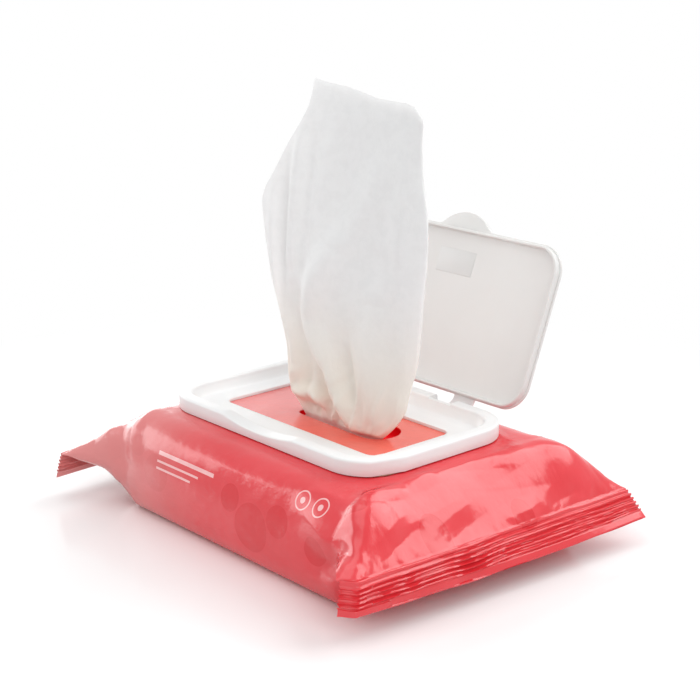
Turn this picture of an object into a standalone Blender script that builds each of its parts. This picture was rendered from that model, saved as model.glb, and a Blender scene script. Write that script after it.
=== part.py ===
"""Wet wipes pack: a film pouch with crimped ends, a flip-top closure and one wipe pulled up through the slot.

Metres, +Z up. The pack rests on z = 0, centred under the closure. +X runs along the pouch from seal to seal,
and the lid is hinged on the +Y side. The lid is modelled open, as it stands in use.
"""

import math

import bmesh
import bpy
import numpy as np
from mathutils import Matrix, Vector

MM = 0.001

# Fits between pieces
touch_gap = 0.3 * MM
lid_gap = 0.6 * MM

# Folded wipes inside the pouch
stack_length = 110.0 * MM
stack_width = 88.0 * MM
stack_headroom = 2.6 * MM
stack_corner = 6.0 * MM
stack_edge = 5.0 * MM

# Film tube, as it is around the wipes
film_thickness = 0.5 * MM
pack_height = 36.0 * MM
top_draw_in = 6.5 * MM
bottom_overhang = 1.5 * MM
side_room = 8.5 * MM
top_flat_half = stack_width / 2 - top_draw_in
bottom_flat_half = stack_width / 2 + bottom_overhang
side_half = stack_width / 2 + side_room
waist_height = 13.0 * MM
waist_roundness = 2.3

# Ends of the pouch, from the straight tube to the root of each crimped seal
end_room_right = 5.0 * MM
end_room_left = -2.0 * MM
end_run_right = 19.0 * MM
end_run_left = 24.0 * MM
straight_right = stack_length / 2 + end_room_right
straight_left = stack_length / 2 + end_room_left
root_right = straight_right + end_run_right
root_left = straight_left + end_run_left
root_height_near_right = 20.0 * MM
root_height_far_right = 16.5 * MM
root_height_near_left = 18.0 * MM
root_height_far_left = 18.0 * MM
shoulder_ease = 1.2
belly_ease = 1.4
waist_turn = 0.25
waist_blend = 0.06

# Crimped seals
seal_length = 12.5 * MM
seal_thickness = 1.0 * MM
seal_bend = 2.5 * MM
rib_count = 6
rib_depth = 0.45 * MM
seal_margin = 1.2 * MM
hang_near_right = 97.0
hang_far_right = 42.0
hang_near_left = 68.0
hang_far_left = 50.0
ear_length = 4.5 * MM
ear_back = 4.0 * MM

# Folds that the flat ends press into the tube
pleat_height = 1.2 * MM
pleat_count = 5
pleat_spread = 0.25
pleat_share_top = 0.25
pleat_share_below = 0.3
corner_lift_right = 5.5 * MM
corner_lift_left = 3.2 * MM
corner_turn = 0.2
corner_spread = 0.06
corner_peak = 0.8
tuck_near = 2.5 * MM
tuck_far = 0.5 * MM

# Lengthwise fin seam, folded flat under the pouch
fin_width = 11.0 * MM
fin_groove_width = 0.8 * MM
fin_groove_depth = 0.25 * MM

# Die-cut slot: the outline round two discs
slot_wide_centre = (20.0 * MM, 2.2 * MM)
slot_wide_radius = 8.2 * MM
slot_narrow_centre = (-12.0 * MM, -2.0 * MM)
slot_narrow_radius = 3.3 * MM

# Closure frame
frame_length = 110.0 * MM
frame_width = 71.0 * MM
frame_height = 5.4 * MM
frame_corner = 16.0 * MM
rim_width = 5.0 * MM
rim_edge = 0.9 * MM
flange_height = 1.1 * MM
wall_draft = 0.45
window_length = 80.0 * MM
window_width = 36.4 * MM
window_corner = 5.0 * MM
glue_thickness = 0.25 * MM
glue_width = 9.0 * MM
glue_inset = 2.0 * MM

# Lid, measured as it lies closed in the frame
lid_plate = 1.1 * MM
lid_depth = 3.3 * MM
lid_wall = 1.3 * MM
tab_width = 25.0 * MM
tab_reach = 5.8 * MM
scoop_margin = 5.0 * MM
catch_length = 18.0 * MM
catch_width = 9.0 * MM
catch_height = 0.6 * MM
catch_setback = 8.5 * MM
lid_open_angle = 111.0
lid_proud = 0.25 * MM

# Living hinges: each strap runs from the foot of the frame's back wall, through a notch in the rim, to the lid
strap_spacing = 42.8 * MM
strap_width = 10.0 * MM
strap_thickness = 0.5 * MM
strap_flat = 3.0 * MM
notch_gap = 0.5 * MM
axis_outset = 0.7 * MM
axis_drop = 0.2 * MM

# Pulled wipe, measured above the film
wipe_thickness = 0.6 * MM
wipe_top = 119.0 * MM
wipe_top_fall = 4.0 * MM
wipe_top_rounding = 5.0 * MM
wipe_top_corner = 0.8
wipe_lean = 4.0 * MM
wipe_foot_drop = film_thickness + stack_headroom - touch_gap
wipe_foot_y = -1.2 * MM
wipe_foot_half_depth = 2.6 * MM
wipe_foot_taper = 0.25
wipe_body_half_depth = 9.0 * MM
wipe_opened_height = wipe_top / 6
wipe_pleat_depth = 2.2 * MM
wipe_pleat_count = 2.5
wipe_pleat_drift = 0.8
wipe_back_share = -0.6

# The wipe's two outer edges: height above the film, then x of the left and of the right edge
wipe_edges = (
    (0.0 * MM, -11.5 * MM, 24.0 * MM),
    (12.0 * MM, -24.5 * MM, 35.0 * MM),
    (28.0 * MM, -27.5 * MM, 39.5 * MM),
    (48.0 * MM, -30.5 * MM, 42.5 * MM),
    (72.0 * MM, -34.5 * MM, 43.5 * MM),
    (92.0 * MM, -24.0 * MM, 41.5 * MM),
    (106.0 * MM, -14.0 * MM, 40.5 * MM),
    (119.0 * MM, -9.0 * MM, 37.5 * MM),
)

# Mesh density
ring_points = 56
section_samples = 60
transition_rings = 9
straight_rings = 7
seal_bend_steps = 12
slot_arc_steps = 12
scoop_segments = 96
tab_segments = 64
wipe_columns = 33
wipe_rows = 26

closure_base = pack_height + 2 * touch_gap + glue_thickness
axis_y = frame_width / 2 + axis_outset
axis_z = closure_base - axis_drop


def clear_scene():
    for old in list(bpy.data.objects):
        bpy.data.objects.remove(old, do_unlink=True)


def collection(name):
    made = bpy.data.collections.new(name)
    bpy.context.scene.collection.children.link(made)
    return made


def material(name, colour, roughness, transmission=0.0):
    made = bpy.data.materials.new(name)
    made.use_nodes = True
    shader = made.node_tree.nodes["Principled BSDF"]
    shader.inputs["Base Color"].default_value = (*colour, 1.0)
    shader.inputs["Roughness"].default_value = roughness
    shader.inputs["Metallic"].default_value = 0.0
    shader.inputs["Transmission Weight"].default_value = transmission
    return made


def object_from(name, shape, into, finish=None, smooth_angle=None):
    mesh = bpy.data.meshes.new(name)
    shape.to_mesh(mesh)
    shape.free()
    made = bpy.data.objects.new(name, mesh)
    into.objects.link(made)
    if finish:
        mesh.materials.append(finish)
    if smooth_angle:
        mesh.shade_smooth()
        mesh.set_sharp_from_angle(angle=math.radians(smooth_angle))
    return made


def cutter_from(name, shape, cutters):
    made = object_from(name, shape, cutters)
    made.hide_render = True
    made.display_type = "WIRE"
    return made


def boolean(target, tool, operation):
    step = target.modifiers.new(f"{operation.lower()} {tool.name}", "BOOLEAN")
    step.operation = operation
    step.solver = "EXACT"
    step.object = tool


def rounded_slab(length, width, corner, low, high, spread=0.0, segments=8):
    """A rounded rectangle from low to high. Its top is larger than its base by spread on each side."""
    shape = bmesh.new()
    bmesh.ops.create_grid(shape, x_segments=1, y_segments=1, size=0.5)
    bmesh.ops.scale(shape, vec=(length, width, 1.0), verts=shape.verts)
    bmesh.ops.bevel(shape, geom=shape.verts[:], offset=corner, segments=segments, affect="VERTICES", profile=0.5)
    raised = bmesh.ops.extrude_face_region(shape, geom=shape.faces[:])["geom"]
    top = [v for v in raised if isinstance(v, bmesh.types.BMVert)]
    bmesh.ops.translate(shape, vec=(0.0, 0.0, high - low), verts=top)
    grown = (1.0 + 2.0 * spread / length, 1.0 + 2.0 * spread / width, 1.0)
    bmesh.ops.scale(shape, vec=grown, verts=top)
    bmesh.ops.translate(shape, vec=(0.0, 0.0, low), verts=shape.verts)
    bmesh.ops.recalc_face_normals(shape, faces=shape.faces)
    return shape


def block(size, centre):
    shape = bmesh.new()
    bmesh.ops.create_cube(shape, size=1.0)
    bmesh.ops.scale(shape, vec=size, verts=shape.verts)
    bmesh.ops.translate(shape, vec=centre, verts=shape.verts)
    return shape


def loft(rings):
    """Closed skin over rings that start at bottom centre, with a cap of strips from bottom to top at each end."""
    shape = bmesh.new()
    rows = [[shape.verts.new(p) for p in ring] for ring in rings]
    count = len(rows[0])
    for lower, upper in zip(rows, rows[1:]):
        for i in range(count):
            j = (i + 1) % count
            shape.faces.new((lower[i], lower[j], upper[j], upper[i]))
    for end in (rows[0], rows[-1]):
        half = count // 2
        for side in (-1, 1):
            for i in range(count // 4):
                a, b = side * i, side * (i + 1)
                quad = (end[a % count], end[b % count], end[(half - b) % count], end[(half - a) % count])
                shape.faces.new(list(dict.fromkeys(quad)))
    bmesh.ops.recalc_face_normals(shape, faces=shape.faces)
    return shape


def smooth(t):
    t = min(max(t, 0.0), 1.0)
    return t * t * (3.0 - 2.0 * t)


def evenly_spaced(line, count):
    """count points at equal steps along an open line, both of its ends included."""
    line = np.array(line)
    steps = np.linalg.norm(np.diff(line, axis=0), axis=1)
    along = np.concatenate([[0.0], np.cumsum(steps)])
    at = np.linspace(0.0, along[-1], count)
    return np.stack([np.interp(at, along, line[:, k]) for k in range(line.shape[1])], axis=1), along[-1]


def tube_half_section(inset):
    """The +Y half of the film's outline round the wipes, from bottom centre to top centre, as (y, z)."""
    line = [(0.0, inset)]
    power = 2.0 / waist_roundness
    for i in range(section_samples + 1):
        a = math.pi / 2 * i / section_samples
        out = bottom_flat_half + (side_half - inset - bottom_flat_half) * math.sin(a) ** power
        line.append((out, waist_height - (waist_height - inset) * math.cos(a) ** power))
    for i in range(1, section_samples + 1):
        a = math.pi / 2 * i / section_samples
        out = top_flat_half + (side_half - inset - top_flat_half) * math.cos(a) ** power
        line.append((out, waist_height + (pack_height - inset - waist_height) * math.sin(a) ** power))
    line.append((0.0, pack_height - inset))
    return evenly_spaced(line, ring_points // 2 + 1)


film_half_width = tube_half_section(0.0)[1] / 2


def tube_ring(inset):
    """The film's whole outline as (y, z), from bottom centre round the +Y side."""
    half, _ = tube_half_section(inset)
    mirrored = [(-y, z) for y, z in half[-2:0:-1]]
    return [tuple(p) for p in half] + mirrored


def flat_ring(inset):
    """The outline pressed flat: (y, side of the middle plane) with the same points as tube_ring."""
    half = []
    quarter = ring_points // 4
    thickness = seal_thickness / 2 - inset
    reach = film_half_width - inset
    for i in range(ring_points // 2 + 1):
        along = i / (ring_points // 2)
        y = reach * (1.0 - abs(2.0 * along - 1.0))
        side = max(-1.0, min(1.0, (i - quarter) / 1.5))
        half.append((y, thickness * side))
    mirrored = [(-y, side) for y, side in half[-2:0:-1]]
    return half + mirrored


def along_seal(y, near, far):
    """A value that runs from near to far along a seal."""
    return near + (far - near) * (0.5 + 0.5 * y / film_half_width)


def hang_angle(end, y):
    """How far a seal hangs below level, in degrees, at y along it."""
    if end > 0:
        return along_seal(y, hang_near_right, hang_far_right)
    return along_seal(y, hang_near_left, hang_far_left)


def seal_root(end, y):
    """How far out and how high the root of a seal lies, at y along it."""
    if end > 0:
        return root_right, along_seal(y, root_height_near_right, root_height_far_right)
    return root_left, along_seal(y, root_height_near_left, root_height_far_left)


def seal_point(end, y, along):
    """Middle of the seal at a length along it from its root, and its unit normal, in the XZ plane."""
    hang = math.radians(hang_angle(end, y))
    x, z = 0.0, 0.0
    for i in range(seal_bend_steps):
        here = (i + 0.5) / seal_bend_steps * along
        a = hang * smooth(here / seal_bend)
        x += math.cos(a) * along / seal_bend_steps
        z -= math.sin(a) * along / seal_bend_steps
    a = hang * smooth(along / seal_bend)
    return x, z, math.sin(a), math.cos(a)


def ear(end, y):
    """The free corner of the near right seal is folded back towards the pouch."""
    if end < 0 or y > 0:
        return 0.0
    return ear_back * smooth((-y - (film_half_width - ear_length)) / ear_length)


def end_rings(end, inset):
    """Rings from the straight tube to the root of one seal."""
    tube = tube_ring(inset)
    flat = flat_ring(inset)
    start = straight_right if end > 0 else straight_left
    lift = corner_lift_right if end > 0 else corner_lift_left
    rings = []
    for k in range(1, transition_rings + 1):
        t = k / transition_rings
        ring = []
        for i, ((ty, tz), (fy, side)) in enumerate(zip(tube, flat)):
            turn = i / ring_points
            root_out, root_up = seal_root(end, fy)
            upper = smooth((0.5 - abs(turn - 0.5) - waist_turn) / waist_blend + 0.5)
            share = t ** (belly_ease + (shoulder_ease - belly_ease) * upper)
            y = ty + (fy - ty) * t
            z = tz + (root_up + side - tz) * share
            beside = math.exp(-((abs(math.sin(2.0 * math.pi * turn)) - 1.0) / pleat_spread) ** 2)
            fade = 4.0 * t * (1.0 - t)
            tuck = tuck_near if ty < 0 else tuck_far
            y -= math.copysign(tuck * beside * fade, ty)
            crease = math.cos(2.0 * math.pi * pleat_count * 2.0 * turn)
            strength = pleat_share_top + (1.0 - pleat_share_top) * beside
            strength *= pleat_share_below + (1.0 - pleat_share_below) * upper
            z += pleat_height * crease * fade * strength
            ridge = math.exp(-(((abs(turn - 0.5) - corner_turn) / corner_spread) ** 2))
            z += lift * ridge * math.sin(math.pi * t ** corner_peak)
            x = end * (start + (root_out - start) * t - ear(end, fy) * t)
            ring.append((x, y, z))
        rings.append(ring)
    return rings


def seal_rings(end):
    """Rings along one seal, with a crest or a valley of its ribs at each."""
    flat = flat_ring(0.0)
    ribbed = seal_length - 2.0 * seal_margin
    stations = [seal_margin * 0.5]
    stations += [seal_margin + ribbed * i / (2 * rib_count) for i in range(2 * rib_count + 1)]
    stations += [seal_length]
    rings = []
    for k, along in enumerate(stations):
        ring = []
        wave = rib_depth * (1 if k % 2 else -1) if 0 < k < len(stations) - 1 else 0.0
        for y, side in flat:
            x, z, nx, nz = seal_point(end, y, along)
            root_out, root_up = seal_root(end, y)
            out = side + wave
            ring.append((end * (root_out - ear(end, y) + x + nx * out), y, root_up + z + nz * out))
        rings.append(ring)
    return rings


def film_solid(inset, with_seals):
    """The pouch from end to end as one closed skin, inset from the outer surface of the film."""
    middle = []
    for k in range(straight_rings + 1):
        x = -straight_left + (straight_right + straight_left) * k / straight_rings
        middle.append([(x, y, z) for y, z in tube_ring(inset)])
    left = end_rings(-1, inset)
    right = end_rings(1, inset)
    if with_seals:
        left += seal_rings(-1)
        right += seal_rings(1)
    else:
        left = left[:-1]
        right = right[:-1]
    return loft(left[::-1] + middle + right)


def slot_outline():
    """Points round the two discs of the slot."""
    wide, narrow = Vector(slot_wide_centre), Vector(slot_narrow_centre)
    apart = wide - narrow
    lean = math.atan2(apart.y, apart.x)
    swing = math.acos((slot_narrow_radius - slot_wide_radius) / apart.length)
    points = []
    for centre, radius, start, stop in (
        (wide, slot_wide_radius, lean - swing, lean + swing),
        (narrow, slot_narrow_radius, lean + swing, lean + 2.0 * math.pi - swing),
    ):
        for i in range(slot_arc_steps + 1):
            a = start + (stop - start) * i / slot_arc_steps
            points.append((centre.x + radius * math.cos(a), centre.y + radius * math.sin(a)))
    return points


def prism(outline, low, high):
    shape = bmesh.new()
    face = shape.faces.new([shape.verts.new((x, y, low)) for x, y in outline])
    raised = bmesh.ops.extrude_face_region(shape, geom=[face])["geom"]
    top = [v for v in raised if isinstance(v, bmesh.types.BMVert)]
    bmesh.ops.translate(shape, vec=(0.0, 0.0, high - low), verts=top)
    bmesh.ops.recalc_face_normals(shape, faces=shape.faces)
    return shape


def make_film_pouch(parts, cutters, finish):
    pouch = object_from("film_pouch", film_solid(0.0, True), parts, finish, 50)
    hollow = cutter_from("film_inside", film_solid(film_thickness, False), cutters)
    boolean(pouch, hollow, "DIFFERENCE")
    slot = prism(slot_outline(), pack_height - 3.0 * film_thickness, pack_height + 3.0 * film_thickness)
    boolean(pouch, cutter_from("slot_punch", slot, cutters), "DIFFERENCE")
    for side in (-1, 1):
        size = (straight_right + straight_left - fin_width, fin_groove_width, 2.0 * fin_groove_depth)
        groove = block(size, ((straight_right - straight_left) / 2, side * fin_width / 2, 0.0))
        boolean(pouch, cutter_from(f"fin_groove_{'near' if side < 0 else 'far'}", groove, cutters), "DIFFERENCE")
    return pouch


def make_wipe_stack(parts, finish):
    low = film_thickness + touch_gap
    high = pack_height - film_thickness - stack_headroom
    shape = rounded_slab(stack_length, stack_width, stack_corner, low, high, segments=4)
    stack = object_from("wipe_stack", shape, parts, finish, 40)
    soften = stack.modifiers.new("soft folded edges", "BEVEL")
    soften.width = stack_edge
    soften.segments = 3
    soften.limit_method = "ANGLE"
    soften.angle_limit = math.radians(60)
    return stack


def make_glue_ring(parts, cutters, finish):
    low = pack_height + touch_gap
    high = low + glue_thickness
    length, width = frame_length - 2 * glue_inset, frame_width - 2 * glue_inset
    ring = object_from(
        "glue_ring", rounded_slab(length, width, frame_corner - glue_inset, low, high), parts, finish, 40
    )
    inner = rounded_slab(
        length - 2 * glue_width,
        width - 2 * glue_width,
        frame_corner - glue_inset - glue_width,
        low - glue_thickness,
        high + glue_thickness,
    )
    boolean(ring, cutter_from("glue_inside", inner, cutters), "DIFFERENCE")
    return ring


def make_lid_frame(parts, cutters, finish):
    low, high = closure_base, closure_base + frame_height
    frame = object_from(
        "lid_frame", rounded_slab(frame_length, frame_width, frame_corner, low, high), parts, finish, 40
    )
    edges = frame.modifiers.new("rounded rim", "BEVEL")
    edges.width = rim_edge
    edges.segments = 2
    edges.limit_method = "ANGLE"
    edges.angle_limit = math.radians(60)
    recess_depth = frame_height - flange_height
    draft = wall_draft * recess_depth
    above = 1.0 * MM
    lift = above / recess_depth
    recess = rounded_slab(
        frame_length - 2 * rim_width - 2 * draft,
        frame_width - 2 * rim_width - 2 * draft,
        frame_corner - rim_width - draft,
        low + flange_height,
        high + above,
        spread=draft * (1.0 + lift),
    )
    boolean(frame, cutter_from("frame_recess", recess, cutters), "DIFFERENCE")
    window = rounded_slab(window_length, window_width, window_corner, low - above, high, segments=4)
    boolean(frame, cutter_from("frame_window", window, cutters), "DIFFERENCE")
    boolean(frame, make_scoop(cutters), "DIFFERENCE")
    for side in (-1, 1):
        boolean(frame, make_notch(cutters, side), "DIFFERENCE")
    return frame


def tab_circle():
    """Radius of the tab's round edge, and how far its centre lies behind the lid's front edge."""
    half = tab_width / 2
    radius = (half * half + tab_reach * tab_reach) / (2.0 * tab_reach)
    return radius, radius - tab_reach


def make_scoop(cutters):
    """Dip in the front rim that leaves the tab free and lets a thumb under it."""
    dip = lid_plate + 2.0 * lid_gap
    half = tab_width / 2 + scoop_margin
    radius = (half * half + dip * dip) / (2.0 * dip)
    shape = bmesh.new()
    bmesh.ops.create_cone(
        shape,
        cap_ends=True,
        segments=scoop_segments,
        radius1=radius,
        radius2=radius,
        depth=rim_width * 3.0,
    )
    bmesh.ops.rotate(shape, cent=(0, 0, 0), matrix=Matrix.Rotation(math.pi / 2, 3, "X"), verts=shape.verts)
    lift = closure_base + frame_height - dip + radius
    bmesh.ops.translate(shape, vec=(0.0, -frame_width / 2, lift), verts=shape.verts)
    return cutter_from("thumb_scoop", shape, cutters)


def strap_route(back, outer):
    """Middle line of a strap from the hinge axis to inside the lid's edge, drawn closed, as (y, z) from the axis."""
    level = outer - strap_thickness / 2
    bend = Vector((strap_flat - back, level))
    start = bend.normalized() * touch_gap
    return [tuple(start), tuple(bend), (-back - lid_wall / 2, level)]


def band(route, thickness):
    """Outline of a strip of even thickness along a route in the YZ plane."""
    points = [Vector(p) for p in route]
    sides = []
    for i, point in enumerate(points):
        before = (point - points[i - 1]).normalized() if i else (points[1] - point).normalized()
        after = (points[i + 1] - point).normalized() if i + 1 < len(points) else before
        across = (before + after).normalized()
        reach = thickness / 2 / across.dot(before)
        sides.append(Vector((-across.y, across.x)) * reach)
    upper = [p + s for p, s in zip(points, sides)]
    lower = [p - s for p, s in zip(points, sides)]
    return [tuple(p) for p in upper + lower[::-1]]


def side_prism(outline, low, high):
    """A YZ outline extruded along X from low to high."""
    shape = bmesh.new()
    face = shape.faces.new([shape.verts.new((low, y, z)) for y, z in outline])
    moved = bmesh.ops.extrude_face_region(shape, geom=[face])["geom"]
    far = [v for v in moved if isinstance(v, bmesh.types.BMVert)]
    bmesh.ops.translate(shape, vec=(high - low, 0.0, 0.0), verts=far)
    bmesh.ops.recalc_face_normals(shape, faces=shape.faces)
    return shape


def make_notch(cutters, side):
    """Room in the back rim for one strap: all that lies outside or above the closed strap is cut away."""
    back = axis_y - (frame_width / 2 - rim_width - lid_gap)
    level = frame_height + axis_drop + lid_proud - strap_thickness - notch_gap
    bend = Vector((strap_flat - back, level))
    across = Vector((bend.y, -bend.x)).normalized()
    reach = strap_thickness / 2 + notch_gap
    foot = -across * reach - bend.normalized() * rim_width
    clear = 2.0 * rim_width
    outline = [
        (-back - rim_width / 2, level),
        (bend.x - reach / 2, level),
        (foot.x, foot.y),
        (clear, foot.y),
        (clear, clear),
        (-back - rim_width / 2, clear),
    ]
    centre = side * strap_spacing / 2
    half = strap_width / 2 + notch_gap
    placed = [(y + axis_y, z + axis_z) for y, z in outline]
    name = f"strap_notch_{'left' if side < 0 else 'right'}"
    return cutter_from(name, side_prism(placed, centre - half, centre + half), cutters)


def make_lid(parts, cutters, finish):
    """The lid, drawn closed round the hinge axis and then turned open."""
    back = axis_y - (frame_width / 2 - rim_width - lid_gap)
    outer = frame_height + axis_drop + lid_proud
    length = frame_length - 2 * rim_width - 2 * lid_gap
    width = frame_width - 2 * rim_width - 2 * lid_gap
    corner = frame_corner - rim_width - lid_gap
    draft = wall_draft * lid_depth
    middle = -back - width / 2
    body = rounded_slab(
        length - 2 * draft, width - 2 * draft, corner - draft, outer - lid_depth, outer, spread=draft
    )
    bmesh.ops.translate(body, vec=(0.0, middle, 0.0), verts=body.verts)
    lid = object_from("lid", body, parts, finish, 40)
    inner_draft = wall_draft * (lid_depth - lid_plate)
    hollow = rounded_slab(
        length - 2 * draft - 2 * lid_wall,
        width - 2 * draft - 2 * lid_wall,
        corner - draft - lid_wall,
        outer - lid_depth - inner_draft,
        outer - lid_plate,
        spread=inner_draft,
    )
    bmesh.ops.translate(hollow, vec=(0.0, middle, 0.0), verts=hollow.verts)
    tools = [("lid_inside", hollow, "DIFFERENCE")]
    radius, behind = tab_circle()
    tab = bmesh.new()
    bmesh.ops.create_cone(tab, cap_ends=True, segments=tab_segments, radius1=radius, radius2=radius, depth=lid_plate)
    front = middle - width / 2
    bmesh.ops.translate(tab, vec=(0.0, front + behind, outer - lid_plate / 2), verts=tab.verts)
    cut = bmesh.ops.bisect_plane(
        tab,
        geom=tab.verts[:] + tab.edges[:] + tab.faces[:],
        plane_co=(0.0, front + lid_wall / 2, 0.0),
        plane_no=(0.0, 1.0, 0.0),
        clear_outer=True,
    )
    bmesh.ops.holes_fill(tab, edges=[e for e in cut["geom_cut"] if isinstance(e, bmesh.types.BMEdge)])
    bmesh.ops.recalc_face_normals(tab, faces=tab.faces)
    tools.append(("lid_tab", tab, "UNION"))
    catch = block(
        (catch_length, catch_width, catch_height + lid_plate / 2),
        (0.0, front + catch_setback + catch_width / 2, outer - lid_plate * 0.75 - catch_height / 2),
    )
    tools.append(("lid_catch", catch, "UNION"))
    route = strap_route(back, outer)
    for side in (-1, 1):
        centre = side * strap_spacing / 2
        strap = side_prism(band(route, strap_thickness), centre - strap_width / 2, centre + strap_width / 2)
        tools.append((f"lid_strap_{'left' if side < 0 else 'right'}", strap, "UNION"))
    for name, shape, operation in tools:
        tool = cutter_from(name, shape, cutters)
        place_on_hinge(tool)
        boolean(lid, tool, operation)
    place_on_hinge(lid)
    return lid


def place_on_hinge(piece):
    piece.location = (0.0, axis_y, axis_z)
    piece.rotation_euler = (-math.radians(lid_open_angle), 0.0, 0.0)


def wipe_section(height):
    """Front layer, fold at the right and back layer of the wipe at one height, as (x, y, height)."""
    heights = [row[0] for row in wipe_edges]
    left = float(np.interp(height, heights, [row[1] for row in wipe_edges]))
    right = float(np.interp(height, heights, [row[2] for row in wipe_edges]))
    rise = min(max(height / wipe_top, 0.0), 1.0)
    opened = smooth(height / wipe_opened_height)
    swell = math.sin(math.pi * rise ** 0.7) ** 0.8
    depth = wipe_foot_half_depth + (wipe_body_half_depth - wipe_foot_half_depth) * swell
    points = []
    for i in range(wipe_columns):
        turn = i / (wipe_columns - 1)
        across = math.sin(math.pi * turn)
        x = left + (right - left) * across
        taper = wipe_foot_taper + (1.0 - wipe_foot_taper) * across
        y = -depth * math.cos(math.pi * turn) * (taper + (1.0 - taper) * opened)
        pleat = math.sin(2.0 * math.pi * (wipe_pleat_count * across + wipe_pleat_drift * rise))
        y += wipe_pleat_depth * opened * pleat * (1.0 if turn < 0.5 else wipe_back_share)
        y += wipe_foot_y + (wipe_lean - wipe_foot_y) * rise
        corner = smooth((across - wipe_top_corner) / (1.0 - wipe_top_corner))
        lowered = wipe_top_fall * across + wipe_top_rounding * corner
        points.append((x, y, height - lowered * rise ** 2))
    return points


def make_pulled_wipe(parts, finish):
    shape = bmesh.new()
    rows = []
    for k in range(wipe_rows):
        height = -wipe_foot_drop + (wipe_top + wipe_foot_drop) * k / (wipe_rows - 1)
        section = wipe_section(max(height, 0.0))
        drop = min(height, 0.0)
        rows.append([shape.verts.new((x, y, pack_height + z + drop)) for x, y, z in section])
    for lower, upper in zip(rows, rows[1:]):
        for a, b, c, d in zip(lower, lower[1:], upper[1:], upper):
            shape.faces.new((a, b, c, d))
    wipe = object_from("pulled_wipe", shape, parts, finish, 60)
    cloth = wipe.modifiers.new("wipe thickness", "SOLIDIFY")
    cloth.thickness = wipe_thickness
    cloth.offset = 0.0
    return wipe


def build():
    clear_scene()
    parts = collection("wet_wipes_pack")
    cutters = collection("cutters")
    film = material("coral film", (0.80, 0.06, 0.10), 0.22)
    white = material("white plastic", (0.86, 0.86, 0.85), 0.35)
    cloth = material("wet cloth", (0.84, 0.83, 0.80), 0.85)
    glue = material("hot melt", (0.80, 0.76, 0.62), 0.45)
    make_film_pouch(parts, cutters, film)
    make_wipe_stack(parts, cloth)
    make_pulled_wipe(parts, cloth)
    make_glue_ring(parts, cutters, glue)
    make_lid_frame(parts, cutters, white)
    make_lid(parts, cutters, white)


build()
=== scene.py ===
# %% [markdown]
# # A pack of wet wipes, dressed
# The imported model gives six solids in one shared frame: the film pouch, the stack of wipes, the wipe that is
# pulled up, a ring of glue, the frame of the closure and its lid. This lesson keeps their places and their
# sizes, and gives each of them the surface that the real thing has. Everything is in metres, the pack rests
# on z = 0, its seals are at the two ends of X, and the lid is hinged on the +Y side.

# %% Load the frame
import math

import bpy
import numpy as np
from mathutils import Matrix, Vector, noise


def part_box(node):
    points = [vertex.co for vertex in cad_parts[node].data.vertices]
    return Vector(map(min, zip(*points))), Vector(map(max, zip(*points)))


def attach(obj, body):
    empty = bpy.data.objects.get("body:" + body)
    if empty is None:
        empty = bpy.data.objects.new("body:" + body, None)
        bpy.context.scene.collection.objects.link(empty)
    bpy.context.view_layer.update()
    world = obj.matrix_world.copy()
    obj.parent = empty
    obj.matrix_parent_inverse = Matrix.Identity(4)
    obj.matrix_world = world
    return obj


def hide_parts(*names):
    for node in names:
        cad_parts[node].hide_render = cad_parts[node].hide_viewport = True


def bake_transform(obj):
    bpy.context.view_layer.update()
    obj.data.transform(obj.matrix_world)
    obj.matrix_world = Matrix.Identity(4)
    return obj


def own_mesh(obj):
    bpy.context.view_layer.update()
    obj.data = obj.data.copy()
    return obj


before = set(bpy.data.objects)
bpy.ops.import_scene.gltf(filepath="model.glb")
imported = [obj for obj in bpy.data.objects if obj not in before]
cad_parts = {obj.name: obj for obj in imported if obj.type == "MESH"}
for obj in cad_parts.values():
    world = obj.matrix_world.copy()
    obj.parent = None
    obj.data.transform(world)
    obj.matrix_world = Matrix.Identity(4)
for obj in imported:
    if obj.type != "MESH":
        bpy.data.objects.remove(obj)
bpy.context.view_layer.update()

MM = 0.001

# %% [markdown]
# Small helpers come first. A new primitive is always selected all over, and so are the nodes that were just
# loaded, so every step starts by deselecting everything. A primitive is then reshaped by moving its points
# with one function of where they were, which is what proportional editing does by hand, only exactly.

# %% Helpers for modelling
def deselect():
    bpy.ops.object.select_all(action="DESELECT")


def pick(piece):
    deselect()
    piece.select_set(True)
    bpy.context.view_layer.objects.active = piece


def new_piece(name, add, **settings):
    deselect()
    add(**settings)
    piece = bpy.context.object
    piece.name = name
    piece.data.name = name
    return piece


def triples(items, name):
    flat = np.empty(len(items) * 3)
    items.foreach_get(name, flat)
    return flat.reshape(-1, 3)


def points_of(piece):
    return triples(piece.data.vertices, "co")


def move_points(piece, points):
    piece.data.vertices.foreach_set("co", points.astype(np.float32).ravel())
    piece.data.update()


def normals_of(piece):
    return triples(piece.data.vertex_normals, "vector")


def edit_all(piece, operator, **settings):
    """Run one operator on the whole mesh in edit mode."""
    pick(piece)
    bpy.ops.object.mode_set(mode="EDIT")
    bpy.ops.mesh.select_all(action="SELECT")
    operator(**settings)
    bpy.ops.object.mode_set(mode="OBJECT")


def weld(piece, distance=0.02 * MM):
    edit_all(piece, bpy.ops.mesh.remove_doubles, threshold=distance)
    edit_all(piece, bpy.ops.mesh.normals_make_consistent, inside=False)


def join(pieces):
    """Join pieces into the first of them."""
    pick(pieces[0])
    for piece in pieces:
        piece.select_set(True)
    bpy.ops.object.join()


def modify(piece, name, kind, **settings):
    step = piece.modifiers.new(name, kind)
    for key, value in settings.items():
        setattr(step, key, value)


def apply_all(piece):
    pick(piece)
    for step in list(piece.modifiers):
        bpy.ops.object.modifier_apply(modifier=step.name)


def shade(piece, angle):
    pick(piece)
    bpy.ops.object.shade_smooth_by_angle(angle=math.radians(angle))


def ease(t):
    t = np.clip(t, 0.0, 1.0)
    return t * t * (3.0 - 2.0 * t)


def triangles(piece):
    return sum(len(face.vertices) - 2 for face in piece.data.polygons)


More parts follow.
